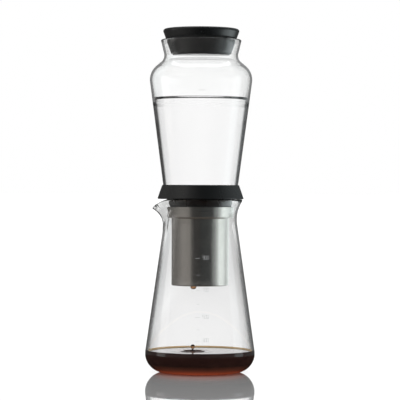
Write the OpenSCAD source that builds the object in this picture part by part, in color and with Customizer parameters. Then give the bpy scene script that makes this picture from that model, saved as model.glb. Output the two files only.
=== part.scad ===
// Slow-drip cold brew coffee maker: a glass decanter, a drip base with a steel filter hanging from it,
// an open-ended glass water chamber standing in the base, and a lid in the chamber's mouth.
// +Z is up, the origin is the centre of the decanter's foot, and the spout points to -X.

/* [Decanter] */
// Height of the decanter, foot to rim
decanter_h = 184.6; // [180:0.2:190]
// Radius of the foot corner before it is rounded
foot_corner_r = 61.7; // [60:0.1:64]
// Rounding of the foot corner
foot_round = 20.5; // [16:0.5:24]
// Radius of the neck corner before it is rounded
neck_corner_r = 37.6; // [37.2:0.1:38.6]
// Height of the neck corner below the rim
neck_drop = 15; // [13:0.5:17]
// Rounding of the neck
neck_round = 35; // [28:1:40]
// Radius of the decanter's rim, outside
decanter_rim_r = 44.6; // [43.6:0.1:45.6]
// Thickness of the glass of both vessels
glass_wall = 2.4; // [2:0.1:2.6]

/* [Spout] */
// Reach of the spout's lip from the axis
spout_reach = 51.3; // [48.5:0.1:53]
// Drop of the spout's lip below the rim
spout_drop = 9.8; // [8.5:0.1:11]
// Radius of the curve under the spout
spout_curve_r = 24; // [22:0.5:27]
// Slope of the spout's underside at the lip, in degrees
spout_lip_slope = 26; // [20:1:32]
// Half the angle that the spout takes up round the neck, in degrees
spout_half_angle = 28; // [24:1:32]
// Rounding of the spout's nose, seen from above
spout_nose_r = 4.5; // [4:0.1:6]

/* [Drip base] */
// Distance that the base's skirt reaches past the decanter's rim
skirt_overhang = 1.7; // [1.2:0.1:4]
// Height of the base's skirt
skirt_h = 15; // [14:0.5:18]
// Thickness of the skirt's lip round the glass
skirt_lip_wall = 0.8; // [0.6:0.1:1.4]
// Radius at the top of the tapered plug
plug_top_r = 36.3; // [35.8:0.1:37]
// Height of the tapered plug
plug_taper_h = 8; // [7:0.5:9]
// Radius at the lower end of the taper
plug_taper_r = 32.3; // [31.9:0.1:32.8]
// Radius of the groove that holds the filter gasket
plug_groove_r = 31.2; // [30.8:0.1:31.5]
// Height of the groove that holds the filter gasket
plug_groove_h = 5.6; // [5:0.1:6.5]
// Height of the bead below that groove
plug_bead_h = 1.2; // [1:0.1:1.6]
// Thickness of the plug's wall
plug_wall = 2.2; // [1.8:0.1:2.6]
// Thickness of the floor under the nozzle
base_floor = 3; // [2.4:0.1:3.6]
// Rise of the funnel-shaped floor from the middle to its edge
funnel_rise = 3.6; // [2:0.1:5]
// Radius of the flat middle of the floor
floor_flat_r = 10.5; // [10:0.5:13]
// Thickness of the upright ring that carries the chamber gasket
boss_wall = 2.4; // [2:0.1:3]
// Height of the top of that ring below the skirt's top edge
boss_drop = 1.8; // [1:0.1:3]

/* [Drip nozzle] */
// Radius of the nozzle's stem
nozzle_stem_r = 3; // [2.6:0.1:3.4]
// Radius of the nozzle's head
nozzle_head_r = 6.2; // [5.6:0.1:6.6]
// Thickness of the nozzle's head
nozzle_head_h = 1.6; // [1.2:0.1:2]
// Length of the nozzle below the base's floor
nozzle_tip_l = 4.2; // [4:0.1:6]
// Radius of the entry bore
nozzle_bore_r = 1.6; // [1.2:0.1:1.8]
// Radius of the drip hole
drip_hole_r = 0.35; // [0.25:0.05:0.6]
// Length of the drip hole
drip_hole_l = 1.2; // [0.8:0.1:2]
// Thickness of the washer under the nozzle's head
washer_h = 1; // [0.8:0.1:1.4]
// Width of the hexagonal nut across its corners
nut_w = 10.4; // [9.8:0.2:12]
// Thickness of the nut
nut_h = 2.4; // [2:0.1:3]
// Outer radius of the screen's holder
holder_r = 9.8; // [9.4:0.1:10]
// Wall of the screen's holder
holder_wall = 2; // [1.6:0.1:2.4]
// Height of the screen's holder
holder_h = 5.4; // [5:0.1:6]
// Depth of the rebate that holds the screen
screen_rebate = 0.9; // [0.7:0.1:1.2]

/* [Gaskets] */
// Height of the chamber gasket's sleeve
sleeve_h = 6.4; // [5.4:0.2:6.8]
// Thickness of the chamber gasket's foot, under the glass
gasket_foot = 1.6; // [1.2:0.1:2]
// Depth of each gasket's grooves between its lips
lip_depth = 0.8; // [0.5:0.1:1]

/* [Filter] */
// Radius of the filter's collar
collar_r = 35.2; // [34.9:0.1:35.6]
// Height of the filter's collar
collar_h = 12.2; // [11.6:0.2:13.4]
// Radius of the filter's body
filter_r = 30.7; // [29.6:0.1:31.4]
// Height of the filter, bottom to rim
filter_h = 84; // [76:1:90]
// Thickness of the filter's sheet steel
sheet = 0.5; // [0.4:0.05:0.6]
// Rounding of the collar's lower edge
collar_round = 1.6; // [1.2:0.1:2]
// Width of the turned-in edge under the mesh
floor_lip = 2.6; // [2:0.1:3.4]
// Thickness of the woven mesh
mesh_t = 0.3; // [0.2:0.05:0.5]
// Radius of the holes that stand for the mesh
mesh_hole_r = 0.6; // [0.4:0.05:0.8]
// Distance between rings of mesh holes
mesh_pitch = 4; // [3.4:0.1:4.6]
// Height of the ring that holds the mesh
mesh_ring_h = 1.2; // [1:0.1:2]

/* [Spreader plate] */
// Thickness of the spreader plate
spreader_t = 0.6; // [0.5:0.1:1]
// Radius of its holes
spreader_hole_r = 0.9; // [0.6:0.1:1.2]
// Distance between its rings of holes
spreader_pitch = 6.4; // [5.6:0.1:6.6]
// Number of rings of holes
spreader_rings = 4; // [2:1:4]
// Radius of the spreader's lifting knob
knob_r = 4.2; // [3.6:0.1:5]
// Height of that knob
knob_h = 6.4; // [5.4:0.2:7]
// Radius of the knob's rivet
rivet_r = 1.5; // [1.2:0.1:1.8]

/* [Water chamber] */
// Radius of the glass where it stands in the base
tail_r = 39.9; // [39.6:0.1:40.6]
// Height of the widest corner above the glass's lower end
shoulder_h = 129.4; // [120:0.2:140]
// Radius of the widest corner before it is rounded
shoulder_corner_r = 55.9; // [54:0.1:58]
// Rounding of the shoulder
shoulder_round = 19.5; // [16:0.5:20]
// Height from the shoulder corner to the neck corner
shoulder_rise = 14.6; // [14:0.2:17]
// Radius of the neck corner before it is rounded
chamber_neck_r = 38.4; // [37.8:0.1:39]
// Rounding of the neck
chamber_neck_round = 8.6; // [7:0.2:9]
// Height from the neck corner to the rim
mouth_h = 20; // [18:0.5:23]
// Radius of the chamber's rim, outside
chamber_rim_r = 42.9; // [42.4:0.1:43.6]

/* [Lid] */
// Radius of the lid at its top, before it is rounded
lid_top_r = 41.6; // [40.6:0.1:43]
// Height of the lid above the chamber's rim
lid_above = 11.5; // [10:0.5:14]
// Depth of the lid below the chamber's rim
lid_below = 15.5; // [13:0.5:16]
// Radius of the lid at its lower end
lid_bottom_r = 31.8; // [31:0.1:33]
// Rounding of the lid's top edge
lid_round = 2.4; // [1.6:0.1:3]
// Wall of the lid
lid_wall = 2; // [1.6:0.1:2.4]
// Step at the lower end, from the lid to its closing disc
disc_step = 1.4; // [1:0.1:1.8]
// Thickness of the closing disc below the lid
disc_t = 1.5; // [1.2:0.1:2]
// Height of the disc's spigot inside the lid
spigot_h = 4; // [3:0.5:6]
// Number of ribs that carry the lid in the glass
rib_count = 4; // [3:1:6]
// Thickness of those ribs
rib_t = 1.8; // [1.4:0.1:2.4]
// Height of those ribs
rib_h = 10.5; // [8:0.5:11]
// Distance from the chamber's rim down to the ribs' top
rib_drop = 2.6; // [2:0.1:3.4]

/* [Fits] */
// Clearance under a piece that rests on another
seat_gap = 0.2; // [0.1:0.05:0.3]
// Clearance round a piece that lifts out
loose_gap = 0.3; // [0.2:0.05:0.4]
// Clearance at a gasket's lips
lip_gap = 0.1; // [0.05:0.01:0.15]
// Clearance round a fixed insert
insert_gap = 0.02; // [0.01:0.01:0.05]

/* [Hidden] */
$fn = 96;

ARC_STEP = 8;       // degrees between the points of a rounded corner
END_STEP = 15;      // degrees between the points of a wall's round end
CUT = 1;            // how far a cut runs past the face it opens
SPOUT_ROWS = 9;     // rows of points up the spout
NOSE_STEPS = 4;     // points on each side of the spout's nose
SPOUT_ROOT = 2;     // how far inside the neck the spout's flanks end

// Heights of the stack
base_z = decanter_h + seat_gap;
groove_z = base_z + base_floor + CUT;
chamber_z = groove_z + gasket_foot + seat_gap;
chamber_h = shoulder_h + shoulder_rise + mouth_h;
chamber_rim_z = chamber_z + chamber_h;
plug_end_z = base_z - plug_taper_h - plug_groove_h - plug_bead_h;
filter_rim_z = base_z - plug_taper_h;
filter_z = filter_rim_z - filter_h;
step_z = filter_rim_z - collar_h + sheet;
floor_z = base_z + base_floor;

// Sizes that follow
tail_in_r = tail_r - glass_wall;
skirt_bottom_r = decanter_rim_r + skirt_overhang;
skirt_top_r = tail_r + loose_gap + skirt_lip_wall;
boss_r = tail_in_r - lip_gap - gasket_foot - lip_depth;
collar_in_r = collar_r - sheet;
filter_in_r = filter_r - sheet;
sleeve_r = tail_in_r - lip_gap;
filter_gasket_r = collar_in_r - lip_gap;
lid_slope = (lid_top_r - lid_bottom_r) / (lid_above + lid_below);
screen_r = holder_r - holder_wall / 2;

// ---- Outlines: a path is a list of [radius, height, rounding], and what is left of it is inside ----

function flat(p) = [p[0], p[1]];
function unit(v) = v / norm(v);
function left_of(v) = [-v[1], v[0]];
function reversed(list) = [for (i = [len(list) - 1:-1:0]) list[i]];

// The points of the arc that rounds the corner b between a and c
function arc_points(a, b, c, radius) =
  let(
    u = unit(a - b),
    v = unit(c - b),
    half = acos(u * v) / 2,
    middle = b + unit(u + v) * radius / sin(half),
    first = b + u * radius / tan(half) - middle,
    sweep = (180 - 2 * half) * (cross(b - a, c - b) > 0 ? 1 : -1),
    start = atan2(first[1], first[0]),
    steps = ceil(abs(sweep) / ARC_STEP)
  )
  [for (i = [0:steps]) middle + radius * [cos(start + sweep * i / steps), sin(start + sweep * i / steps)]];

// A path with its corners rounded
function rounded(path) = [
  for (i = [0:len(path) - 1])
    each (i > 0 && i < len(path) - 1 && path[i][2] > 0)
      ? arc_points(flat(path[i - 1]), flat(path[i]), flat(path[i + 1]), path[i][2])
      : [flat(path[i])]
];

// The same path moved to its left by a wall
function inset(path, wall) = [
  for (i = [0:len(path) - 1])
    let(
      p = flat(path[i]),
      before = i > 0 ? left_of(unit(p - flat(path[i - 1]))) : left_of(unit(flat(path[i + 1]) - p)),
      after = i < len(path) - 1 ? left_of(unit(flat(path[i + 1]) - p)) : before,
      mitre = unit(before + after),
      moved = p + mitre * wall / (mitre * before),
      turns_left = cross(before, after) > 0
    )
    [moved[0], moved[1], path[i][2] + (turns_left ? -wall : wall)]
];

// The round end of a wall, from its outer face to its inner one
function round_end(path, wall, from = 0, to = 180) =
  let(
    last = flat(path[len(path) - 1]),
    along = unit(last - flat(path[len(path) - 2])),
    out = -left_of(along),
    middle = last - out * wall / 2
  )
  [for (a = [from:END_STEP:to]) middle + wall / 2 * (out * cos(a) + along * sin(a))];

// The last point of a path whose round end tops out at a height
function rim_point(corner, radius, top, wall) =
  let(lean = unit([radius - corner[0], top - wall / 2 - corner[1]])[0])
  [radius, top - wall / 2 * (1 + lean), 0];

// Radius of an outline at a height
function radius_at(points, z) = lookup(z, [for (p = points) [p[1], p[0]]]);

// ---- Decanter ----

neck_corner = [neck_corner_r, decanter_h - neck_drop, neck_round];
decanter_path = [
  [0, 0, 0],
  [foot_corner_r, 0, foot_round],
  neck_corner,
  rim_point(neck_corner, decanter_rim_r, decanter_h, glass_wall),
];
decanter_inner_path = inset(decanter_path, glass_wall);
decanter_side = rounded(decanter_path);
decanter_inner_side = rounded(decanter_inner_path);

// The curve under the spout is an arc about this point, and ends at the lip
spout_mid_r = spout_reach + spout_curve_r * sin(spout_lip_slope);
spout_mid_z = decanter_h - spout_drop - spout_curve_r * cos(spout_lip_slope);

// Plan of the spout at one height: a wedge with a round nose, whose flanks end inside the neck
function spout_plan(nose_x, nose_r, root_r) =
  let(
    root = root_r * [-cos(spout_half_angle), sin(spout_half_angle)],
    middle = [-nose_x + nose_r, 0],
    to_root = root - middle,
    tangent = atan2(to_root[1], to_root[0]) + acos(nose_r / norm(to_root))
  )
  [
    [-root_r / 3, 0],
    root,
    for (i = [0:2 * NOSE_STEPS])
      let(a = tangent + (360 - 2 * tangent) * i / (2 * NOSE_STEPS))
      middle + nose_r * [cos(a), sin(a)],
    [root[0], -root[1]],
  ];

// The spout as a solid, drawn in by a wall for its hollow
module spout_body(wall) {
  arc_r = spout_curve_r + wall;
  side = wall > 0 ? decanter_inner_side : decanter_side;
  top_z = decanter_h + CUT + wall;
  rows = [
    for (i = [0:SPOUT_ROWS])
      let(
        a = 76 * i / SPOUT_ROWS,
        z = spout_mid_z + arc_r * sin(a)
      )
      [spout_mid_r - arc_r * cos(a), min(z, top_z - CUT / 2)],
    [spout_mid_r - arc_r * cos(76), top_z],
  ];
  plans = [
    for (row = rows)
      spout_plan(row[0], spout_nose_r - wall, radius_at(side, row[1]) - SPOUT_ROOT)
  ];
  count = len(plans[0]);
  points = [for (i = [0:len(rows) - 1]) for (p = plans[i]) [p[0], p[1], rows[i][1]]];
  function at(row, k) = row * count + k % count;
  polyhedron(
    points = points,
    faces = [
      for (k = [1:count - 2]) [0, k, k + 1],
      for (k = [1:count - 2]) [at(len(rows) - 1, 0), at(len(rows) - 1, k + 1), at(len(rows) - 1, k)],
      for (row = [0:len(rows) - 2])
        for (k = [0:count - 1])
          each [
            [at(row, k), at(row + 1, k), at(row, k + 1)],
            [at(row, k + 1), at(row + 1, k), at(row + 1, k + 1)],
          ],
    ],
    convexity = 4
  );
}

// What the spout's curved lip leaves out
module lip_cut() {
  lip_r = 29.3;
  past_nose = 8;
  rise = spout_drop + 0.3;
  middle_x = -spout_reach + sqrt(lip_r * lip_r - (lip_r - rise) * (lip_r - rise));
  difference() {
    translate([-spout_reach - past_nose, -decanter_rim_r, decanter_h - 2 * spout_drop])
      cube([spout_reach + past_nose + middle_x, 2 * decanter_rim_r, 3 * spout_drop]);
    translate([middle_x, 0, decanter_h + rise - spout_drop - lip_r])
      rotate([90, 0, 0])
        cylinder(r = lip_r, h = 3 * decanter_rim_r, center = true);
    translate([-spout_reach - 2 * past_nose, -decanter_rim_r - CUT, decanter_h - 3 * spout_drop])
      cube([2 * past_nose + CUT / 2, 2 * decanter_rim_r + 2 * CUT, 2 * spout_drop]);
  }
}

module decanter() {
  middle_side = rounded(inset(decanter_path, glass_wall / 2));
  color([0.86, 0.9, 0.9, 0.35])
    difference() {
      union() {
        rotate_extrude()
          polygon(concat(
            decanter_side,
            round_end(decanter_path, glass_wall),
            reversed(decanter_inner_side)
          ));
        difference() {
          spout_body(0);
          rotate_extrude()
            polygon(concat(middle_side, [[decanter_rim_r, decanter_h + 3 * CUT], [0, decanter_h + 3 * CUT]]));
        }
      }
      spout_body(glass_wall - 0.2);
      lip_cut();
    }
}

// ---- Drip base ----

module drip_base() {
  groove_in_r = boss_r;
  groove_out_r = tail_r + loose_gap;
  top_z = base_z + skirt_h;
  boss_top_z = top_z - boss_drop;
  boss_in_r = boss_r - boss_wall;
  outline = [
    [nozzle_stem_r + insert_gap, floor_z, 0],
    [nozzle_stem_r + insert_gap, base_z, 0],
    [plug_top_r - plug_wall - 1, base_z, 1.5],
    [plug_taper_r - plug_wall - 0.6, filter_rim_z, 4],
    [plug_groove_r - plug_wall, filter_rim_z - 3, 3],
    [plug_groove_r - plug_wall, plug_end_z, 0],
    [plug_groove_r + 1, plug_end_z, 0.4],
    [plug_groove_r + 1, plug_end_z + plug_bead_h, 0],
    [plug_groove_r, plug_end_z + plug_bead_h, 0],
    [plug_groove_r, filter_rim_z, 0],
    [plug_taper_r, filter_rim_z, 0],
    [plug_top_r, base_z, 0.6],
    [skirt_bottom_r, base_z, 0.8],
    [skirt_top_r, top_z, 0.3],
    [groove_out_r, top_z, 0],
    [groove_out_r, groove_z, 0],
    [groove_in_r, groove_z, 0],
    [groove_in_r, boss_top_z, 0.6],
    [boss_in_r, boss_top_z, 0.6],
    [boss_in_r, floor_z + funnel_rise, 2],
    [floor_flat_r, floor_z, 6],
  ];
  color([0.1, 0.11, 0.12])
    rotate_extrude()
      polygon(rounded(concat(outline, [[nozzle_stem_r + insert_gap, floor_z, 0]])));
}

// Silicone sleeve between the base's upright ring and the glass, with a foot under the glass
module chamber_gasket() {
  groove = sleeve_h / 5;
  foot_top = groove_z + gasket_foot;
  color([0.16, 0.17, 0.18])
    rotate_extrude()
      polygon([
        [boss_r, groove_z],
        [tail_r, groove_z],
        [tail_r, foot_top],
        [sleeve_r - lip_depth, foot_top],
        [sleeve_r - lip_depth, foot_top + groove],
        [sleeve_r, foot_top + groove * 1.5],
        [sleeve_r - lip_depth, foot_top + groove * 2.5],
        [sleeve_r, foot_top + groove * 3.5],
        [sleeve_r - lip_depth, foot_top + groove * 4.5],
        [sleeve_r - lip_depth, foot_top + sleeve_h],
        [boss_r, foot_top + sleeve_h],
      ]);
}

// Silicone ring on the plug, which grips the inside of the filter's collar
module filter_gasket() {
  low = plug_end_z + plug_bead_h;
  step = plug_groove_h / 4;
  color([0.16, 0.17, 0.18])
    rotate_extrude()
      polygon([
        [plug_groove_r, low],
        [filter_gasket_r - lip_depth, low],
        [filter_gasket_r, low + step],
        [filter_gasket_r - lip_depth, low + step * 2],
        [filter_gasket_r, low + step * 3],
        [filter_gasket_r - lip_depth, low + step * 4],
        [plug_groove_r, low + step * 4],
      ]);
}

// ---- Drip nozzle and its screen ----

module drip_nozzle() {
  head_z = floor_z + washer_h;
  tip_z = base_z - nozzle_tip_l;
  color([0.72, 0.73, 0.74])
    difference() {
      union() {
        translate([0, 0, head_z])
          cylinder(r = nozzle_head_r, h = nozzle_head_h);
        translate([0, 0, tip_z + 1])
          cylinder(r = nozzle_stem_r, h = head_z - tip_z - 1 + CUT / 2);
        translate([0, 0, tip_z])
          cylinder(r1 = nozzle_stem_r - 1.2, r2 = nozzle_stem_r, h = 1);
      }
      translate([0, 0, tip_z + drip_hole_l])
        cylinder(r = nozzle_bore_r, h = head_z + nozzle_head_h - tip_z);
      translate([0, 0, tip_z - CUT])
        cylinder(r = drip_hole_r, h = drip_hole_l + 2 * CUT);
    }
}

module nozzle_washer() {
  color([0.2, 0.2, 0.21])
    translate([0, 0, floor_z])
      difference() {
        cylinder(r = nozzle_head_r - 0.4, h = washer_h);
        translate([0, 0, -CUT])
          cylinder(r = nozzle_stem_r + insert_gap, h = washer_h + 2 * CUT);
      }
}

module nozzle_nut() {
  color([0.72, 0.73, 0.74])
    translate([0, 0, base_z - nut_h])
      difference() {
        cylinder(r = nut_w / 2, h = nut_h, $fn = 6);
        translate([0, 0, -CUT])
          cylinder(r = nozzle_stem_r + insert_gap, h = nut_h + 2 * CUT);
      }
}

// Ring that stands round the nozzle's head and holds the screen over it
module screen_holder() {
  color([0.14, 0.15, 0.16])
    translate([0, 0, floor_z])
      difference() {
        cylinder(r = holder_r, h = holder_h);
        translate([0, 0, -CUT])
          cylinder(r = holder_r - holder_wall, h = holder_h + 2 * CUT);
        translate([0, 0, holder_h - screen_rebate])
          cylinder(r = screen_r + insert_gap, h = screen_rebate + CUT);
      }
}

// Holes on rings, with six more on each ring than on the one inside it
module ring_holes(rings, pitch, radius, height, first = 1) {
  for (ring = [first:rings])
    for (i = [0:6 * ring - 1])
      rotate([0, 0, i * 60 / ring])
        translate([ring * pitch, 0, 0])
          cylinder(r = radius, h = height, $fn = 24);
}

module inlet_screen() {
  rings = floor((holder_r - holder_wall - 1) / (mesh_pitch / 1.6));
  color([0.66, 0.67, 0.68])
    translate([0, 0, floor_z + holder_h - screen_rebate])
      difference() {
        cylinder(r = screen_r, h = mesh_t);
        translate([0, 0, -CUT])
          ring_holes(rings, mesh_pitch / 1.6, mesh_hole_r, mesh_t + 2 * CUT);
      }
}

// ---- Filter ----

module filter_cup() {
  outline = [
    [filter_r - floor_lip, filter_z, 0],
    [filter_r, filter_z, 1],
    [filter_r, step_z - sheet, 0.5],
    [collar_r, step_z - sheet, collar_round],
    [collar_r, filter_rim_z, 0],
    [collar_in_r, filter_rim_z, 0],
    [collar_in_r, step_z, collar_round - sheet],
    [filter_in_r, step_z, 1],
    [filter_in_r, filter_z + sheet, 0.5],
    [filter_r - floor_lip, filter_z + sheet, 0],
  ];
  color([0.66, 0.65, 0.63])
    rotate_extrude()
      polygon(rounded(outline));
}

module filter_mesh() {
  disc_r = filter_in_r - 0.6;
  rings = floor((filter_r - floor_lip - 1) / mesh_pitch);
  color([0.5, 0.5, 0.5])
    translate([0, 0, filter_z + sheet])
      difference() {
        cylinder(r = disc_r, h = mesh_t);
        translate([0, 0, -CUT])
          ring_holes(rings, mesh_pitch, mesh_hole_r, mesh_t + 2 * CUT);
      }
}

// Ring that clamps the mesh on the filter's turned-in edge
module mesh_ring() {
  color([0.62, 0.61, 0.6])
    translate([0, 0, filter_z + sheet + mesh_t])
      difference() {
        cylinder(r = filter_in_r - insert_gap, h = mesh_ring_h);
        translate([0, 0, -CUT])
          cylinder(r = filter_r - floor_lip, h = mesh_ring_h + 2 * CUT);
      }
}

// Plate that lies on the filter's step and spreads the drops over the coffee
module spreader_plate() {
  color([0.7, 0.7, 0.69])
    translate([0, 0, step_z + seat_gap])
      difference() {
        cylinder(r = collar_in_r - collar_round, h = spreader_t);
        translate([0, 0, -CUT])
          ring_holes(spreader_rings, spreader_pitch, spreader_hole_r, spreader_t + 2 * CUT);
        translate([0, 0, -CUT])
          cylinder(r = rivet_r + insert_gap, h = spreader_t + 2 * CUT);
      }
}

// Turned knob with a rivet through the plate
module spreader_knob() {
  plate_z = step_z + seat_gap;
  plate_top = plate_z + spreader_t;
  outline = [
    [0, plate_z - 0.8, 0],
    [rivet_r + 0.8, plate_z - 0.8, 0.5],
    [rivet_r + 0.8, plate_z, 0],
    [rivet_r, plate_z, 0],
    [rivet_r, plate_top, 0],
    [knob_r * 0.62, plate_top, 0],
    [knob_r * 0.5, plate_top + knob_h * 0.45, 1],
    [knob_r, plate_top + knob_h * 0.7, 0.6],
    [knob_r, plate_top + knob_h, 1],
    [0, plate_top + knob_h, 0],
  ];
  color([0.7, 0.7, 0.69])
    rotate_extrude()
      polygon(rounded(outline));
}

// ---- Water chamber ----

chamber_neck = [chamber_neck_r, chamber_z + shoulder_h + shoulder_rise, chamber_neck_round];
chamber_path = [
  [tail_r, chamber_z, 0],
  [tail_r, base_z + skirt_h - CUT, 12],
  [shoulder_corner_r, chamber_z + shoulder_h, shoulder_round],
  chamber_neck,
  rim_point(chamber_neck, chamber_rim_r, chamber_rim_z, glass_wall),
];
chamber_inner_path = inset(chamber_path, glass_wall);
chamber_inner_side = rounded(chamber_inner_path);

module upper_chamber() {
  color([0.86, 0.9, 0.9, 0.35])
    rotate_extrude()
      polygon(concat(
        rounded(chamber_path),
        round_end(chamber_path, glass_wall),
        reversed(chamber_inner_side)
      ));
}

// ---- Lid ----

lid_top_z = chamber_rim_z + lid_above;
lid_end_z = chamber_rim_z - lid_below;

function lid_r_at(z) = lid_bottom_r + (z - lid_end_z) * lid_slope;

module lid_cap() {
  shell = [
    [0, lid_top_z, 0],
    [lid_top_r, lid_top_z, lid_round],
    [lid_bottom_r, lid_end_z, 0],
    [lid_bottom_r - lid_wall, lid_end_z, 0],
    [lid_bottom_r - lid_wall, lid_end_z + spigot_h, 0],
    [lid_top_r - lid_wall - 1, lid_top_z - lid_wall, 1.2],
    [0, lid_top_z - lid_wall, 0],
  ];
  rib_top = chamber_rim_z - rib_drop;
  rib_low = rib_top - rib_h;
  color([0.1, 0.11, 0.12])
    union() {
      rotate_extrude()
        polygon(rounded(shell));
      for (i = [0:rib_count - 1])
        rotate([90, 0, 180 / rib_count + i * 360 / rib_count])
          linear_extrude(height = rib_t, center = true)
            polygon([
              [lid_r_at(rib_low) - lid_wall / 2, rib_low],
              [radius_at(chamber_inner_side, rib_low) - loose_gap, rib_low],
              [radius_at(chamber_inner_side, rib_top) - loose_gap, rib_top],
              [lid_r_at(rib_top) - lid_wall / 2, rib_top],
            ]);
    }
}

// Disc that closes the lid from below, with a spigot inside it
module lid_disc() {
  outline = [
    [0, lid_end_z - disc_t, 0],
    [lid_bottom_r - disc_step, lid_end_z - disc_t, 0.6],
    [lid_bottom_r - disc_step, lid_end_z, 0],
    [lid_bottom_r - lid_wall - insert_gap, lid_end_z, 0],
    [lid_bottom_r - lid_wall - insert_gap, lid_end_z + spigot_h - 0.5, 0.4],
    [lid_bottom_r - 2 * lid_wall, lid_end_z + spigot_h - 0.5, 0.4],
    [lid_bottom_r - 2 * lid_wall, lid_end_z + disc_t, 1],
    [0, lid_end_z + disc_t, 0],
  ];
  color([0.12, 0.13, 0.14])
    rotate_extrude()
      polygon(rounded(outline));
}

decanter();
filter_cup();
filter_mesh();
mesh_ring();
spreader_plate();
spreader_knob();
drip_base();
filter_gasket();
chamber_gasket();
drip_nozzle();
nozzle_washer();
nozzle_nut();
screen_holder();
inlet_screen();
upper_chamber();
lid_cap();
lid_disc();
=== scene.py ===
"""Slow-drip cold brewer: its finishes, its blown glass, its water and coffee, and a plain studio."""
import math

import bpy
from bpy.props import FloatProperty, FloatVectorProperty, IntProperty, PointerProperty
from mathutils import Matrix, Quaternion, Vector


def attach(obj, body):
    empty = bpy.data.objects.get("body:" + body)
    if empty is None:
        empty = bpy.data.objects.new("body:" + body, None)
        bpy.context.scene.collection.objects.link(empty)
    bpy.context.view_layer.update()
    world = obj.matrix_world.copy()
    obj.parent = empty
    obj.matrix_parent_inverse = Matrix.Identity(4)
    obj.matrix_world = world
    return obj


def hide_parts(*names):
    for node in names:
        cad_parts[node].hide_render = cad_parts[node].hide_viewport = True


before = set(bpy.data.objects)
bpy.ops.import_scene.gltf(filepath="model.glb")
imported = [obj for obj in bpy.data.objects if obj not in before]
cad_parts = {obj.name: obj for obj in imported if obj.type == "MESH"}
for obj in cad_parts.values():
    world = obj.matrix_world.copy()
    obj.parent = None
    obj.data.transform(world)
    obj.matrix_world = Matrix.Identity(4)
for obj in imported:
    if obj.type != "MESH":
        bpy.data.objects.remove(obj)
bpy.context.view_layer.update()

bl_info = {
    "name": "Slow-Drip Brewer",
    "version": (1, 0, 0),
    "blender": (4, 5, 0),
    "location": "View3D > Sidebar > Brewer",
    "description": "Builds the glass, finishes, water, coffee and studio of a slow-drip brewer",
    "category": "Object",
}

MM = 0.001

# ---- Sizes that the glass shares with the frame, in millimetres ----

DECANTER_H = 184.6
DECANTER_RIM_R = 44.6
NECK_CORNER = (37.6, DECANTER_H - 15, 35)
FOOT_CORNER = (61.7, 0, 20.5)
GLASS_WALL = 2.4

SPOUT_REACH = 52.2
SPOUT_DROP = 9.8
SPOUT_CURVE_R = 24
SPOUT_CURVE_TURN = math.radians(76)     # how far round its curve the wedge goes
SPOUT_LIP_SLOPE = math.radians(26)
SPOUT_HALF_ANGLE = math.radians(28)
SPOUT_END_ANGLE = 1.5 * SPOUT_HALF_ANGLE    # the glass is plain past this
SPOUT_NOSE_R = 4.5
SPOUT_ROOT = 2
SPOUT_FADE = 30         # how fast the flank sinks into the neck past its root, in mm a radian
SPOUT_SINK = 0.4        # how fast the wedge sinks into the neck below its curve
SPOUT_BLEND = 4         # width of the smooth change from the neck to the wedge
SPOUT_LIP_R = 29.3
SPOUT_LIP_OVER = 0.3    # how far above the rim the lip's cut starts
SPOUT_START_Z = 150     # the lip's drop is shared out above this
SPOUT_LOW_Z = 125       # the glass is plain below this

CHAMBER_Z = 190.6
CHAMBER_TAIL_R = 39.9
CHAMBER_TAIL_CORNER = (CHAMBER_TAIL_R, 198.8, 12)
CHAMBER_SHOULDER = (55.9, 320.0, 19.5)
CHAMBER_NECK = (38.4, 334.6, 8.6)
CHAMBER_RIM_R = 42.9
CHAMBER_RIM_Z = 354.6

FUNNEL_LOW = (10.4, 187.7)
FUNNEL_HIGH = (32.5, 191.3)
BOSS_TOP_Z = 198.1
FILTER_Z = 92.8

WETTED = 0.05       # how far a liquid reaches into the glass that holds it
PRINT_T = 0.06      # thickness of the printed marks

ARC_STEP = math.radians(3)      # between the points of a rounded corner
BEAD_STEPS = 10                 # round the end of a wall
DECANTER_RUN = 4                # longest straight step of each outline
CHAMBER_RUN = 6


# ---- Outlines: a path is a list of (radius, height, rounding), and what is left of it is inside ----

def flat(point):
    return Vector((point[0], point[1]))


def left_of(way):
    return Vector((-way.y, way.x))


def cross(a, b):
    return a.x * b.y - a.y * b.x


def arc_points(before, corner, after, radius):
    """The points of the arc that rounds a corner."""
    u = (before - corner).normalized()
    v = (after - corner).normalized()
    half = math.acos(max(-1.0, min(1.0, u.dot(v)))) / 2
    middle = corner + (u + v).normalized() * radius / math.sin(half)
    first = corner + u * radius / math.tan(half) - middle
    sweep = (math.pi - 2 * half) * (1 if cross(corner - before, after - corner) > 0 else -1)
    start = math.atan2(first.y, first.x)
    steps = math.ceil(abs(sweep) / ARC_STEP)
    angles = [start + sweep * i / steps for i in range(steps + 1)]
    return [middle + radius * Vector((math.cos(a), math.sin(a))) for a in angles]


def rounded(path):
    """A path with its corners rounded."""
    points = []
    for i, point in enumerate(path):
        if 0 < i < len(path) - 1 and point[2] > 0:
            points += arc_points(flat(path[i - 1]), flat(point), flat(path[i + 1]), point[2])
        else:
            points.append(flat(point))
    return points


def inset(path, wall):
    """The same path moved to its left by a wall."""
    moved = []
    for i, point in enumerate(path):
        here = flat(point)
        after = left_of((flat(path[i + 1]) - here).normalized()) if i < len(path) - 1 else None
        before = left_of((here - flat(path[i - 1])).normalized()) if i else after
        after = after or before
        mitre = (before + after).normalized()
        place = here + mitre * wall / mitre.dot(before)
        moved.append((place.x, place.y, point[2] + (-wall if cross(before, after) > 0 else wall)))
    return moved


def rim_point(corner, radius, top, wall):
    """The last point of a path whose round end tops out at a height."""
    lean = Vector((radius - corner[0], top - wall / 2 - corner[1])).normalized().x
    return (radius, top - wall / 2 * (1 + lean), 0)


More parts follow.
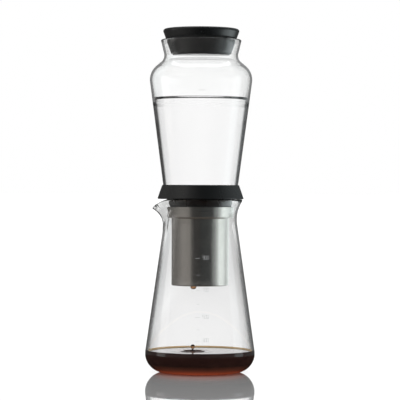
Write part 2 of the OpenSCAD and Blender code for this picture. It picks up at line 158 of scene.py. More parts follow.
def divided(points, longest):
    """Points with more of them along the long straight runs."""
    fine = [points[0]]
    for a, b in zip(points, points[1:]):
        steps = max(1, math.ceil((b - a).length / longest))
        fine += [a.lerp(b, i / steps) for i in range(1, steps + 1)]
    return fine


def radius_at(points, z):
    """Radius of a rising outline at a height."""
    for low, high in zip(points, points[1:]):
        if low.y <= z <= high.y and high.y > low.y:
            return low.x + (high.x - low.x) * (z - low.y) / (high.y - low.y)
    return points[-1].x if z > points[-1].y else points[0].x


def bead(outer_end, inner_end):
    """The half round that joins the ends of a wall's two faces, without those ends."""
    middle = (outer_end + inner_end) / 2
    out = outer_end - middle
    along = left_of(out)
    angles = [math.pi * i / BEAD_STEPS for i in range(1, BEAD_STEPS)]
    return [middle + out * math.cos(a) + along * math.sin(a) for a in angles]


decanter_path = [
    (0, 0, 0), FOOT_CORNER, NECK_CORNER,
    rim_point(NECK_CORNER, DECANTER_RIM_R, DECANTER_H, GLASS_WALL),
]
decanter_outer = divided(rounded(decanter_path), DECANTER_RUN)
decanter_inner = divided(rounded(inset(decanter_path, GLASS_WALL)), DECANTER_RUN)

chamber_path = [
    (CHAMBER_TAIL_R, CHAMBER_Z, 0), CHAMBER_TAIL_CORNER, CHAMBER_SHOULDER, CHAMBER_NECK,
    rim_point(CHAMBER_NECK, CHAMBER_RIM_R, CHAMBER_RIM_Z, GLASS_WALL),
]
chamber_outer = divided(rounded(chamber_path), CHAMBER_RUN)
chamber_inner = divided(rounded(inset(chamber_path, GLASS_WALL)), CHAMBER_RUN)


# ---- The spout: the neck swells into a bell-shaped beak towards -X ----

def soft_max(a, b, blend):
    """The larger of two numbers, with a smooth change between them."""
    near = max(blend - abs(a - b), 0) / blend
    return max(a, b) + near * near * blend / 4


def beak_radius(side, z, turn, wall):
    """Radius of the spout's wedge at a height and an angle from -X."""
    curve_r = SPOUT_CURVE_R + wall
    middle_r = SPOUT_REACH + SPOUT_CURVE_R * math.sin(SPOUT_LIP_SLOPE)
    middle_z = DECANTER_H - SPOUT_DROP - SPOUT_CURVE_R * math.cos(SPOUT_LIP_SLOPE)
    nose_r = SPOUT_NOSE_R - wall
    rise = max(0, min((z - middle_z) / curve_r, math.sin(SPOUT_CURVE_TURN)))
    sunk = SPOUT_SINK * max(0, middle_z - z)
    centre = middle_r - curve_r * math.sqrt(1 - rise * rise) - nose_r - sunk
    root_r = radius_at(side, z) - SPOUT_ROOT - sunk
    if turn > SPOUT_HALF_ANGLE:
        return root_r - SPOUT_FADE * (turn - SPOUT_HALF_ANGLE)
    to_root = Vector((root_r * math.cos(SPOUT_HALF_ANGLE) - centre, root_r * math.sin(SPOUT_HALF_ANGLE)))
    facing = math.atan2(to_root.y, to_root.x) - math.acos(nose_r / to_root.length)
    touch = math.atan2(nose_r * math.sin(facing), centre + nose_r * math.cos(facing))
    if turn < touch:
        return centre * math.cos(turn) + math.sqrt(max(nose_r ** 2 - (centre * math.sin(turn)) ** 2, 0))
    return (centre * math.cos(facing) + nose_r) / math.cos(turn - facing)


def lip_height(x):
    """Height of the cut that shapes the spout's lip, at a distance towards -X."""
    rise = SPOUT_DROP + SPOUT_LIP_OVER
    middle_x = SPOUT_REACH - math.sqrt(SPOUT_LIP_R ** 2 - (SPOUT_LIP_R - rise) ** 2)
    if x <= middle_x:
        return DECANTER_H
    across = min(x - middle_x, SPOUT_LIP_R)
    cut = DECANTER_H + SPOUT_LIP_OVER - SPOUT_LIP_R + math.sqrt(SPOUT_LIP_R ** 2 - across ** 2)
    return min(DECANTER_H, cut)


def decanter_column(angle):
    """The decanter's closed outline at one angle about the axis."""
    turn = abs((angle + 2 * math.pi) % (2 * math.pi) - math.pi)

    def swelled(points, z, thick):
        return soft_max(radius_at(points, z), beak_radius(points, z, turn, thick), SPOUT_BLEND)

    # The lip drops with its reach, and its reach shrinks as it drops, so both are found in small steps.
    top = decanter_outer[-1].y
    drop = 0.0
    for _ in range(12):
        reach = swelled(decanter_outer, top - drop, 0)
        drop += 0.6 * (DECANTER_H - lip_height(reach * math.cos(turn)) - drop)

    def wall(points, thick):
        placed = []
        end = points[-1].y
        for p in points:
            if p.y < SPOUT_LOW_Z or turn > SPOUT_END_ANGLE:
                placed.append(p)
                continue
            z = p.y - drop * max(0, (p.y - SPOUT_START_Z) / (end - SPOUT_START_Z))
            placed.append(Vector((swelled(points, z, thick), z)))
        return placed

    outer = wall(decanter_outer, 0)
    inner = wall(decanter_inner, GLASS_WALL)
    return outer + bead(outer[-1], inner[-1]) + inner[::-1]


# ---- Meshes ----

SPOUT_FINE_ANGLE = 0.62     # to each side of the spout, in radians


def even_angles(count):
    return [2 * math.pi * i / count for i in range(count)]


def spout_angles(count):
    """Angles about the axis, four times closer together round the spout."""
    half = SPOUT_FINE_ANGLE
    fine = 4 * max(8, round(count * half / math.pi))
    coarse = max(24, round(count * (1 - half / math.pi)))
    near = [math.pi - half + 2 * half * i / fine for i in range(fine)]
    far = [math.pi + half + (2 * math.pi - 2 * half) * i / coarse for i in range(coarse)]
    return near + far


def solid_of(name, points, faces, sharp=40):
    """A smooth-shaded mesh object, sharp only where its faces meet at more than an angle."""
    mesh = bpy.data.meshes.new(name)
    mesh.from_pydata([tuple(MM * c for c in p) for p in points], [], faces)
    mesh.validate()
    mesh.update()
    for face in mesh.polygons:
        face.use_smooth = True
    mesh.set_sharp_from_angle(angle=math.radians(sharp))
    piece = bpy.data.objects.new(name, mesh)
    bpy.context.scene.collection.objects.link(piece)
    return piece


def lathe(name, column, angles, closed=False, centre=(0, 0), sharp=40):
    """A solid turned about Z. column gives the outline at an angle, outside first, then inside."""
    columns = [column(a) for a in angles]
    points, rings = [], []
    for row in range(len(columns[0])):
        if columns[0][row][0] < 1e-6:
            rings.append([len(points)])
            points.append((centre[0], centre[1], columns[0][row][1]))
        else:
            rings.append(list(range(len(points), len(points) + len(angles))))
            points += [
                (centre[0] + c[row][0] * math.cos(a), centre[1] + c[row][0] * math.sin(a), c[row][1])
                for a, c in zip(angles, columns)
            ]
    pairs = list(zip(rings, rings[1:])) + ([(rings[-1], rings[0])] if closed else [])
    faces = []
    for low, high in pairs:
        for i in range(len(angles)):
            j = (i + 1) % len(angles)
            if len(low) == 1 and len(high) > 1:
                faces.append((low[0], high[j], high[i]))
            elif len(high) == 1 and len(low) > 1:
                faces.append((low[i], low[j], high[0]))
            elif len(low) > 1:
                faces.append((low[i], low[j], high[j], high[i]))
    return solid_of(name, points, faces, sharp)


# ---- Shared effects, as node groups ----

def effect(name, inputs, outputs, wire):
    """A shader node group, built once."""
    group = bpy.data.node_groups.get(name)
    if group:
        return group
    group = bpy.data.node_groups.new(name, "ShaderNodeTree")
    for label, value in inputs:
        socket = group.interface.new_socket(label, in_out="INPUT", socket_type="NodeSocketFloat")
        socket.default_value = value
    for label in outputs:
        group.interface.new_socket(label, in_out="OUTPUT", socket_type="NodeSocketFloat")
    wire(group, group.nodes.new("NodeGroupInput"), group.nodes.new("NodeGroupOutput"))
    return group


def link(tree, source, target):
    tree.links.new(source, target)


def feed(tree, value, socket):
    """Links another socket to this one, or sets it to a number, a grey or a colour."""
    if isinstance(value, bpy.types.NodeSocket):
        link(tree, value, socket)
    elif socket.type != "RGBA":
        socket.default_value = value
    else:
        colour = (value,) * 3 if isinstance(value, (int, float)) else value
        socket.default_value = (*colour, 1)


def add_node(tree, kind, sockets, **settings):
    """A shader node with its settings, and with values for its sockets by name or place."""
    node = tree.nodes.new("ShaderNode" + kind)
    for label, value in settings.items():
        setattr(node, label, value)
    for label, value in sockets.items():
        feed(tree, value, node.inputs[label])
    return node


def math_node(tree, operation, *values):
    return add_node(tree, "Math", dict(enumerate(values)), operation=operation).outputs[0]


def noise_at(tree, vector, scale, detail, roughness):
    sockets = {"Vector": vector, "Scale": scale, "Detail": detail, "Roughness": roughness}
    return add_node(tree, "TexNoise", sockets).outputs["Fac"]


def ease(tree, value, low, high, kind="SMOOTHSTEP"):
    """0 where a value is at low and 1 where it is at high."""
    sockets = {"Value": value, "From Min": low, "From Max": high}
    return add_node(tree, "MapRange", sockets, interpolation_type=kind).outputs["Result"]


def place_of(tree, space="Object"):
    return add_node(tree, "TexCoord", {}).outputs[space]


def split(tree, vector):
    """X, Y and Z of a vector."""
    return add_node(tree, "SeparateXYZ", {0: vector}).outputs


def smudge_group():
    """Patches that run from a low to a high value, for roughness that varies over a surface."""
    def wire(group, given, result):
        broad = noise_at(group, place_of(group), given.outputs["Patches"], 3.0, 0.55)
        spread = ease(group, broad, 0.32, 0.68, "LINEAR")
        link(group, given.outputs["Low"], spread.node.inputs["To Min"])
        link(group, given.outputs["High"], spread.node.inputs["To Max"])
        link(group, spread, result.inputs["Value"])
    return effect("Smudges", [("Patches", 30.0), ("Low", 0.1), ("High", 0.3)], ["Value"], wire)


def turned_group():
    """Fine lines that run round the axis, as drawing and polishing leave on sheet steel."""
    def wire(group, given, result):
        x, y, z = split(group, place_of(group))
        squares = [math_node(group, "MULTIPLY", side, side) for side in (x, y)]
        radius = math_node(group, "SQRT", math_node(group, "ADD", *squares))
        lines = given.outputs["Lines"]
        across = math_node(group, "MULTIPLY", radius, lines)
        along = math_node(group, "MULTIPLY", z, lines)
        drift = math_node(group, "MULTIPLY", math_node(group, "ADD", x, y), given.outputs["Drift"])
        spot = add_node(group, "CombineXYZ", {0: across, 1: along, 2: drift}).outputs[0]
        link(group, noise_at(group, spot, 1.0, 3.0, 0.6), result.inputs["Height"])
    return effect("Turned lines", [("Lines", 2500.0), ("Drift", 12.0)], ["Height"], wire)


def grain_group():
    """The fine grain of moulded plastic and silicone, with a broad unevenness under it."""
    def wire(group, given, result):
        place = place_of(group)
        fine = noise_at(group, place, given.outputs["Grain"], 2.0, 0.5)
        broad = noise_at(group, place, given.outputs["Waves"], 1.0, 0.5)
        height = math_node(group, "ADD", fine, math_node(group, "MULTIPLY", broad, 2.0))
        link(group, height, result.inputs["Height"])
        link(group, broad, result.inputs["Mask"])
    return effect("Moulded grain", [("Grain", 2500.0), ("Waves", 60.0)], ["Height", "Mask"], wire)


def ripple_group():
    """The slight waves of blown glass and of a liquid's surface."""
    def wire(group, given, result):
        waves = noise_at(group, place_of(group), given.outputs["Waves"], 1.0, 0.4)
        link(group, waves, result.inputs["Height"])
    return effect("Ripples", [("Waves", 25.0)], ["Height"], wire)


def use_group(tree, group, **values):
    return add_node(tree, "Group", values, node_tree=group)


def new_material(name, numbers):
    """A material with a Principled shader. Numbers that are the same all over go on its own sockets."""
    material = bpy.data.materials.new(name)
    material.use_nodes = True
    tree = material.node_tree
    tree.nodes.clear()
    shader = add_node(tree, "BsdfPrincipled", numbers)
    output = add_node(tree, "OutputMaterial", {"Surface": shader.outputs["BSDF"]})
    return material, tree, shader, output


def bump(tree, shader, height, strength, distance):
    bumps = add_node(tree, "Bump", {"Height": height, "Strength": strength, "Distance": distance})
    link(tree, bumps.outputs["Normal"], shader.inputs["Normal"])


def rippled(tree, shader, waves, strength, distance):
    """Gives a shader the ripples as its bumps."""
    bump(tree, shader, use_group(tree, ripple_group(), Waves=waves).outputs["Height"], strength, distance)


def smudged(tree, shader, patches, low, high):
    """Gives a shader a roughness that runs from low to high in patches."""
    smudges = use_group(tree, smudge_group(), Patches=patches, Low=low, High=high)
    link(tree, smudges.outputs["Value"], shader.inputs["Roughness"])


def mixed_colour(tree, mask, first, second):
    """One colour where a mask is 0 and another where it is 1."""
    sockets = {"Factor": mask, "A": first, "B": second}
    return add_node(tree, "Mix", sockets, data_type="RGBA").outputs["Result"]


def mixed_shader(tree, mask, first, second):
    """One shader where a mask is 0 and another where it is 1."""
    return add_node(tree, "MixShader", {0: mask, 1: first, 2: second}).outputs["Shader"]


def plain_shader(tree, kind, colour):
    """A diffuse or a transparent shader of one colour."""
    return add_node(tree, "Bsdf" + kind, {"Color": colour}).outputs["BSDF"]


def facing_of(tree):
    """0 where a surface is seen face on, and 1 where it is seen edge on."""
    return add_node(tree, "LayerWeight", {"Blend": 0.5}).outputs["Facing"]


# ---- Finishes ----

def ramp(tree, value, stops):
    """A colour ramp over a value. Each stop is (position, colour), in rising order."""
    node = add_node(tree, "ValToRGB", {"Fac": value})
    elements = node.color_ramp.elements
    elements.remove(elements[1])
    elements[0].position = stops[0][0]
    elements[0].color = (*stops[0][1], 1)
    for position, colour in stops[1:]:
        elements.new(position).color = (*colour, 1)
    return node.outputs["Color"]


def glass_finish(name, index, tint, edge, waves, wave_height, smudge, zones=()):
    """Clear glass or liquid that lets the lamp through.

    edge gives the painted shade at its edges: how its colour falls as it turns edge on.
    Each zone is (z where it has no effect, z where it has all its effect, colour there).
    """
    material, tree, shader, output = new_material(name, {"IOR": index, "Transmission Weight": 1})
    # Painted shade: the colour darkens towards the edges as the glass or liquid turns edge on
    stops = [(0.0, tint)] + [(at, tuple(c * share for c in tint)) for at, share in edge]
    colour = ramp(tree, facing_of(tree), stops)
    for no_z, all_z, there in zones:
        z = split(tree, place_of(tree))["Z"]
        colour = mixed_colour(tree, ease(tree, z, no_z, all_z), colour, there)
    link(tree, colour, shader.inputs["Base Color"])
    smudged(tree, shader, 22.0, 0.0, smudge)
    rippled(tree, shader, waves, 0.3, wave_height)
    clear = plain_shader(tree, "Transparent", tuple(0.5 + c / 2 for c in tint))
    shadow = add_node(tree, "LightPath", {}).outputs["Is Shadow Ray"]
    link(tree, mixed_shader(tree, shadow, shader.outputs["BSDF"], clear), output.inputs["Surface"])
    return material


def steel_finish(name, colour, low, high):
    """Drawn stainless steel: lines round the axis, and roughness that varies along them."""
    material, tree, shader, _ = new_material(name, {"Metallic": 1})
    lines = use_group(tree, turned_group(), Lines=2600.0, Drift=14.0).outputs["Height"]
    darker = tuple(c * 0.86 for c in colour)
    link(tree, mixed_colour(tree, lines, darker, colour), shader.inputs["Base Color"])
    smudged(tree, shader, 35.0, low, high)
    bump(tree, shader, lines, 0.35, 0.00002)
    return material


def moulded_finish(name, colour, low, high, grain, depth, gloss=0.5):
    """Moulded plastic, silicone or print: a fine grain, and a colour that is a little uneven."""
    material, tree, shader, _ = new_material(name, {"IOR": 1.5, "Specular IOR Level": gloss})
    moulded = use_group(tree, grain_group(), Grain=grain, Waves=45.0)
    lighter = tuple(min(1.0, c * 1.35 + 0.002) for c in colour)
    link(tree, mixed_colour(tree, moulded.outputs["Mask"], colour, lighter), shader.inputs["Base Color"])
    smudged(tree, shader, 28.0, low, high)
    bump(tree, shader, moulded.outputs["Height"], 0.3, depth)
    return material


def finish_of(name, make, **settings):
    """A finish by its name, made when the first piece asks for it."""
    return bpy.data.materials.get(name) or make(name, **settings)


def dress(nodes, material):
    """Gives CAD nodes a finish in place of their own."""
    for name in nodes:
        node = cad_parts[name]
        node.data.materials.clear()
        node.data.materials.append(material)


# Thin glass above the body stays clear at its edges, and the thick foot is tinted with a painted glow of lit
# coffee.
CLEAR_EDGE = (0.98, 0.983, 0.981)
DECANTER_ZONES = [(0.11, 0.15, CLEAR_EDGE), (0.007, 0.003, (0.72, 0.36, 0.26))]
CHAMBER_ZONES = [(0.293, 0.305, CLEAR_EDGE)]
# Painted shade at the edges: how much of its colour glass keeps as it turns edge on, by Layer Weight's Facing
DECANTER_EDGE_SHADE = [
    (0.25, 0.985), (0.4, 0.945), (0.46, 0.925), (0.53, 0.89), (0.57, 0.85), (0.625, 0.78),
    (0.68, 0.64), (0.73, 0.36), (0.78, 0.17), (0.86, 0.08), (1.0, 0.05)]
CHAMBER_EDGE_SHADE = [(0.3, 0.98), (0.5, 0.95), (0.6, 0.9), (0.7, 0.78), (0.8, 0.55), (1.0, 0.4)]
WATER_EDGE_SHADE = [(0.4, 0.99), (0.8, 0.8), (1.0, 0.7)]
DROP_EDGE_SHADE = [(0.25, 0.7), (0.6, 0.3), (1.0, 0.15)]


def glass(name, edge, zones):
    look = bpy.context.scene.brewer_glass
    return finish_of(
        name, glass_finish, index=look.index, tint=tuple(look.tint), edge=edge,
        waves=18.0, wave_height=0.00012, smudge=0.004, zones=zones)


def steel():
    look = bpy.context.scene.brewer_finish
    return finish_of("Drawn steel", steel_finish, colour=look.steel, low=0.12, high=0.19)


def plastic():
    look = bpy.context.scene.brewer_finish
    return finish_of(
        "Black plastic", moulded_finish, colour=look.plastic, low=0.2, high=0.3,
        grain=2200.0, depth=0.00001, gloss=0.4)


def silicone():
    look = bpy.context.scene.brewer_finish
    return finish_of(
        "Dark silicone", moulded_finish, colour=look.silicone, low=0.48, high=0.62,
        grain=1500.0, depth=0.00002)


# ---- Settings ----

def colour_setting(name, description, default):
    return FloatVectorProperty(
        name=name, description=description, subtype="COLOR", size=3, default=default, min=0, max=1)


def length_setting(name, description, default, least, most):
    return FloatProperty(
        name=name, description=description, subtype="DISTANCE", unit="LENGTH",
        default=default, min=least, max=most)


class BrewerGlass(bpy.types.PropertyGroup):
    segments: IntProperty(
        name="Segments", description="Faces round the glass", default=192, min=48, max=512)
    index: FloatProperty(
        name="Refraction", description="Index of refraction of the glass", default=1.47, min=1.3, max=1.7)
    tint: colour_setting("Tint", "Colour that the glass gives to light", (1.0, 1.0, 1.0))


class BrewerLiquids(bpy.types.PropertyGroup):
    water_z: length_setting("Water level", "Height of the water above the table", 0.2904, 0.2, 0.32)
    coffee_z: length_setting("Coffee level", "Height of the coffee above the table", 0.0227, 0.01, 0.14)
    coffee: colour_setting("Coffee", "Colour of the coffee", (0.036, 0.0155, 0.0125))
    # Painted light: the coffee's colour at its foot, as light from the table shining through it, and the
    # colour of its painted glow
    coffee_painted_glow: colour_setting("Coffee edge", "Colour of the coffee where it is thin", (0.8, 0.26, 0.14))
    drop: colour_setting("Drop", "Colour of the hanging drop", (0.34, 0.17, 0.075))


class BrewerFinish(bpy.types.PropertyGroup):
    steel: colour_setting("Steel", "Colour of the stainless steel", (0.68, 0.65, 0.61))
    plastic: colour_setting("Plastic", "Colour of the black plastic", (0.006, 0.0068, 0.0072))
    silicone: colour_setting("Silicone", "Colour of the gaskets", (0.02, 0.021, 0.023))
    printing: colour_setting("Print", "Colour of the printed scale", (0.55, 0.56, 0.57))


class BrewerStudio(bpy.types.PropertyGroup):
    distance: length_setting("Camera distance", "Distance from the camera to the axis", 2.13, 0.5, 10)
    height: length_setting("Camera height", "Height of the camera above the table", 0.196, 0.01, 3)
    frame_w: length_setting("Width in view", "Width that the picture shows at the axis", 0.4268, 0.05, 5)
    aim_z: length_setting("Aim height", "Height that the middle of the picture shows", 0.1838, 0, 1)
    aside: length_setting("Aside", "How far the camera stands to the right of the axis", -0.0006, -0.1, 0.1)
    roll: FloatProperty(
        name="Roll", description="Turn of the camera about its line of sight",
        subtype="ANGLE", unit="ROTATION", default=math.radians(0.25), min=-0.1, max=0.1)
    room: FloatProperty(
        name="Room light", description="Strength of the light from all sides", default=0.85, min=0, max=3)


# ---- Pieces ----

class BREWER_OT_decanter(bpy.types.Operator):
    """Blows the glass decanter, with its spout drawn out to the left"""
    bl_idname = "brewer.decanter"
    bl_label = "Decanter"

    def execute(self, context):
        piece = lathe("glass_decanter", decanter_column, spout_angles(context.scene.brewer_glass.segments))
        piece.data.materials.append(glass("Decanter glass", DECANTER_EDGE_SHADE, DECANTER_ZONES))
        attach(piece, "decanter")
        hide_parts("decanter")
        return {"FINISHED"}


class BREWER_OT_chamber(bpy.types.Operator):
    """Blows the glass water chamber, open at both ends"""
    bl_idname = "brewer.chamber"
    bl_label = "Water chamber"

    def execute(self, context):
        outline = chamber_outer + bead(chamber_outer[-1], chamber_inner[-1]) + chamber_inner[::-1]
        piece = lathe(
            "glass_chamber", lambda _: outline, even_angles(context.scene.brewer_glass.segments), closed=True)
        piece.data.materials.append(glass("Chamber glass", CHAMBER_EDGE_SHADE, CHAMBER_ZONES))
        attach(piece, "chamber")
        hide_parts("upper_chamber")
        return {"FINISHED"}


MENISCUS_CLIMB = 2.5    # how far the water climbs the glass
MENISCUS_SPREAD = 4.6   # how far from the glass it starts to climb
MENISCUS_T = 0.2        # thickness of the water at the top of its climb
MENISCUS_STEPS = 12


class BREWER_OT_water(bpy.types.Operator):
    """Fills the chamber with water, down to the nozzle"""
    bl_idname = "brewer.water"
    bl_label = "Water"

    def execute(self, context):
        level = context.scene.brewer_liquids.water_z / MM
        side = [p + Vector((WETTED, 0)) for p in chamber_inner if BOSS_TOP_Z + 1 < p.y < level - 1]
        wall_r = radius_at(chamber_inner, level) + WETTED
        outline = [
            (0, FUNNEL_LOW[1]), FUNNEL_LOW, FUNNEL_HIGH, (FUNNEL_HIGH[0], BOSS_TOP_Z),
            (side[0].x, BOSS_TOP_Z), *side, (wall_r, level + MENISCUS_CLIMB)]
        for i in range(MENISCUS_STEPS + 1):
            share = i / MENISCUS_STEPS
            r = wall_r - MENISCUS_T - MENISCUS_SPREAD * share
            outline.append((r, level + MENISCUS_CLIMB * (1 - share) ** 3))
        outline += [(wall_r * share, level) for share in (0.8, 0.5, 0.25, 0)]
        angles = even_angles(context.scene.brewer_glass.segments)
        piece = lathe("water_fill", lambda _: outline, angles, sharp=60)
        piece.data.materials.append(finish_of(
            "Water", glass_finish, index=1.333, tint=(1.0, 1.0, 1.0), edge=WATER_EDGE_SHADE,
            waves=40.0, wave_height=0.00004, smudge=0.0))
        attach(piece, "chamber")
        return {"FINISHED"}


COFFEE_INDEX = 1.34
# Both ramps paint light at the coffee's foot: a redder colour and a glow.
COFFEE_FADE_Z = 0.015   # its two ramps of colour run from the table up to this height, in metres


def coffee_finish(name, look):
    """Dark coffee, redder where it is thin at the foot: painted light shining through, and a painted glow."""
    # The Emission Strength is for the coffee's painted glow at its foot.
    material, tree, shader, _ = new_material(name, {"IOR": COFFEE_INDEX, "Emission Strength": 0.22})
    height = ease(tree, split(tree, place_of(tree))["Z"], 0.0, COFFEE_FADE_Z, "LINEAR")
    body, glow = tuple(look.coffee), tuple(look.coffee_painted_glow)
    halfway = tuple(0.75 * a + 0.25 * b for a, b in zip(body, glow))
    # Painted light: the colour turns red at the foot, as light shining through the thin coffee
    base = ramp(tree, height, [(0.22, glow), (0.4, halfway), (0.7, body)])
    link(tree, base, shader.inputs["Base Color"])
    # Painted glow: the foot gives out light of its own, though it is no lamp
    lit = ramp(tree, height, [(0.2, glow), (0.36, halfway), (0.5, (0, 0, 0))])
    link(tree, lit, shader.inputs["Emission Color"])
    smudged(tree, shader, 30.0, 0.02, 0.06)
    rippled(tree, shader, 60.0, 0.2, 0.0003)
    return material


def coffee_film_finish(name):
    """The film that coffee draws up the glass, painted amber all round as the light shining through it."""
    material, tree, shader, _ = new_material(
        name, {"IOR": COFFEE_INDEX, "Roughness": 0.3, "Specular IOR Level": 0.2})
    streaks = use_group(tree, ripple_group(), Waves=200.0).outputs["Height"]
    # Painted light: the bright ambers stand for light shining through the film from behind
    link(tree, mixed_colour(tree, streaks, (0.9, 0.6, 0.27), (0.96, 0.7, 0.38)), shader.inputs["Base Color"])
    return material


def thin_coffee(look):
    return finish_of(
        "Thin coffee", glass_finish, index=COFFEE_INDEX, tint=tuple(look.drop), edge=DROP_EDGE_SHADE,
        waves=80.0, wave_height=0.00002, smudge=0.0)


COFFEE_CLIMB = 1.2      # how far the coffee climbs the glass
COFFEE_CLIMB_W = 2.2    # how far from the glass it starts to climb
COFFEE_EDGE_T = 0.1     # thickness of the coffee at the top of its climb
COFFEE_RINGS = 48
FILM_W = 2.0            # width of the film at the coffee's edge

SPLASH = Vector((-7.6, -6.0))   # where the drops fall on the coffee, in plan
# Height, distance from the splash and width of the mound, the dip and the two rings round it
SPLASH_RINGS = [(1.5, 0, 3.4), (-0.9, 6.5, 2.2), (0.9, 11.2, 2.0), (0.25, 18.5, 2.4)]
SPLASH_BALL = (2.45, 27.7)      # radius and height of the drop that springs back
JET_FOOT = [(0, -1.0), (3.6, -1.0), (3.2, 1.1)]     # radius, and height above the coffee
JET_LOW = 1.2                   # height above the coffee at which the jet's curve starts
JET_R = 0.75
JET_FLARE = 2.2                 # how much wider the jet is at the start of its curve


def coffee_height(level, wall_r, x, y):
    """Height of the coffee's surface: level, with a rise at the glass and rings round the splash."""
    edge = max(0.0, 1 - (wall_r - math.hypot(x, y)) / COFFEE_CLIMB_W) ** 2.5
    away = math.hypot(x - SPLASH.x, y - SPLASH.y)
    rings = sum(high * math.exp(-((away - far) / wide) ** 2) for high, far, wide in SPLASH_RINGS)
    return level + COFFEE_CLIMB * edge + rings


def splash_outline(level):
    """A jet out of the coffee, flared at its foot, with a ball on top."""
    ball_r, ball_z = SPLASH_BALL
    low_z = level + JET_LOW
    neck_z = ball_z - ball_r * 0.93
    jet = [(r, level + up) for r, up in JET_FOOT]
    for share in (0.15, 0.35, 0.6, 0.85):
        jet.append((JET_R + JET_FLARE * (1 - share) ** 3, low_z + (neck_z - low_z) * share))
    for i in range(14):
        a = math.radians(22 + 158 * i / 14)
        jet.append((ball_r * math.sin(a), ball_z - ball_r * math.cos(a)))
    return jet + [(0, ball_z + ball_r)]


class BREWER_OT_coffee(bpy.types.Operator):
    """Lays the first coffee in the decanter, with a drop springing back from it"""
    bl_idname = "brewer.coffee"
    bl_label = "Coffee"

    def execute(self, context):
        look = context.scene.brewer_liquids
        level = look.coffee_z / MM
        side = []
        for p, q in zip(decanter_inner, decanter_inner[1:]):
            if p.y < level:
                out = -left_of((q - p).normalized())
                side.append((0, p.y) if p.x < 1e-6 else p + out * WETTED)
        wall_r = radius_at(decanter_inner, level) + WETTED
        top_r = radius_at(decanter_inner, level + COFFEE_CLIMB) + WETTED

        def column(angle):
            rows = side + [(wall_r, level), (top_r, level + COFFEE_CLIMB)]
            for i in range(1, COFFEE_RINGS + 1):
                r = (top_r - COFFEE_EDGE_T) * (1 - i / COFFEE_RINGS)
                rows.append((r, coffee_height(level, top_r, r * math.cos(angle), r * math.sin(angle))))
            return rows

        piece = lathe("coffee_fill", column, even_angles(context.scene.brewer_glass.segments), sharp=60)
        piece.data.materials.append(finish_of("Coffee", coffee_finish, look=look))
        piece.data.materials.append(finish_of("Coffee film", coffee_film_finish))
        film_r = (top_r - FILM_W) * MM
        for face in piece.data.polygons:
            if face.normal.z > 0.2 and math.hypot(face.center.x, face.center.y) > film_r:
                face.material_index = 1
        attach(piece, "decanter")

        jet = splash_outline(level)
        splash = lathe("coffee_splash", lambda _: jet, even_angles(48), centre=SPLASH, sharp=80)
        splash.data.materials.append(thin_coffee(look))
        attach(splash, "decanter")
        return {"FINISHED"}


DROP_R = 3.2
DROP_LOW_Z = 88.6
DROP_TOP_Z = FILTER_Z + 0.5
DROP_AT = (-7.2, -4.0)      # where it hangs, in plan
DROP_STEPS = 16


class BREWER_OT_drop(bpy.types.Operator):
    """Hangs a drop of coffee under the filter's mesh"""
    bl_idname = "brewer.drop"
    bl_label = "Hanging drop"

    def execute(self, context):
        outline = [(0, DROP_LOW_Z)]
        for i in range(1, DROP_STEPS):
            t = i / DROP_STEPS
            width = math.sin(math.pi * t) ** 0.9 if t < 0.5 else 1 - 0.24 * (t - 0.5)
            up = (DROP_TOP_Z - DROP_LOW_Z) * (0.62 * t ** 1.7 + 0.38 * t)
            outline.append((DROP_R * width, DROP_LOW_Z + up))
        outline += [(DROP_R * 0.85, DROP_TOP_Z), (0, DROP_TOP_Z)]
        piece = lathe("coffee_drop", lambda _: outline, even_angles(48), centre=DROP_AT, sharp=70)
        piece.data.materials.append(thin_coffee(context.scene.brewer_liquids))
        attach(piece, "filter")
        return {"FINISHED"}


# Strokes of the scale's plain figures, on a grid two wide and four high
FIGURES = {
    "0": [((0, 0), (2, 0)), ((2, 0), (2, 4)), ((2, 4), (0, 4)), ((0, 4), (0, 0))],
    "3": [((0, 4), (2, 4)), ((2, 4), (2, 0)), ((2, 2), (0, 2)), ((2, 0), (0, 0))],
    "5": [((2, 4), (0, 4)), ((0, 4), (0, 2)), ((0, 2), (2, 2)), ((2, 2), (2, 0)), ((2, 0), (0, 0))],
    "7": [((0, 4), (2, 4)), ((2, 4), (1, 0))],
    "9": [((2, 2), (0, 2)), ((0, 2), (0, 4)), ((0, 4), (2, 4)), ((2, 4), (2, 0)), ((2, 0), (0, 0))],
}
SCALE_MARKS = [
    (37.5, "300"), (49.0, ""), (61.7, "500"), (75.3, ""), (89.5, "700"), (105.5, ""), (123.0, "900"),
]
MARK_LONG_X = -5.2      # left end of a mark with a number
MARK_SHORT_X = -3.8     # left end of a mark without one
MARK_END_X = -0.6
FIGURES_X = 2.6
FIGURES_DROP = 0.9      # how far the figures' feet stand below their mark
FIGURE_UNIT = 0.85      # side of that grid's squares
FIGURE_PITCH = 2.25     # from one figure to the next
SCALE_STROKE = 0.22
PRINT_RUN = 1.5         # longest straight step of a stroke round the wall
FILL_MARK_Z = 298.6     # height of the fill line on the water chamber
FILL_MARK_X = (-2.4, 4.0)
FILL_STROKE = 0.3


def printed(name, strokes, side, weight):
    """Thin strokes printed on the front of a round wall. Each runs between two points of (x, z)."""
    points, faces = [], []
    for a, b in strokes:
        a, b = Vector(a), Vector(b)
        along = (b - a).normalized() * weight / 2
        across = left_of(along)
        a, b = a - along, b + along
        steps = max(1, math.ceil((b - a).length / PRINT_RUN))
        first = len(points)
        for i in range(steps + 1):
            middle = a.lerp(b, i / steps)
            for flank, lift in ((across, 0.0), (across, PRINT_T), (-across, PRINT_T), (-across, 0.0)):
                spot = middle + flank
                r = radius_at(side, spot.y) + lift
                points.append((spot.x, -math.sqrt(r * r - spot.x ** 2), spot.y))
        for i in range(steps):
            for k in range(4):
                low, high = first + 4 * i, first + 4 * (i + 1)
                faces.append((low + k, high + k, high + (k + 1) % 4, low + (k + 1) % 4))
        last = first + 4 * steps
        faces += [(first, first + 1, first + 2, first + 3), (last + 3, last + 2, last + 1, last)]
    return solid_of(name, points, faces, 30)


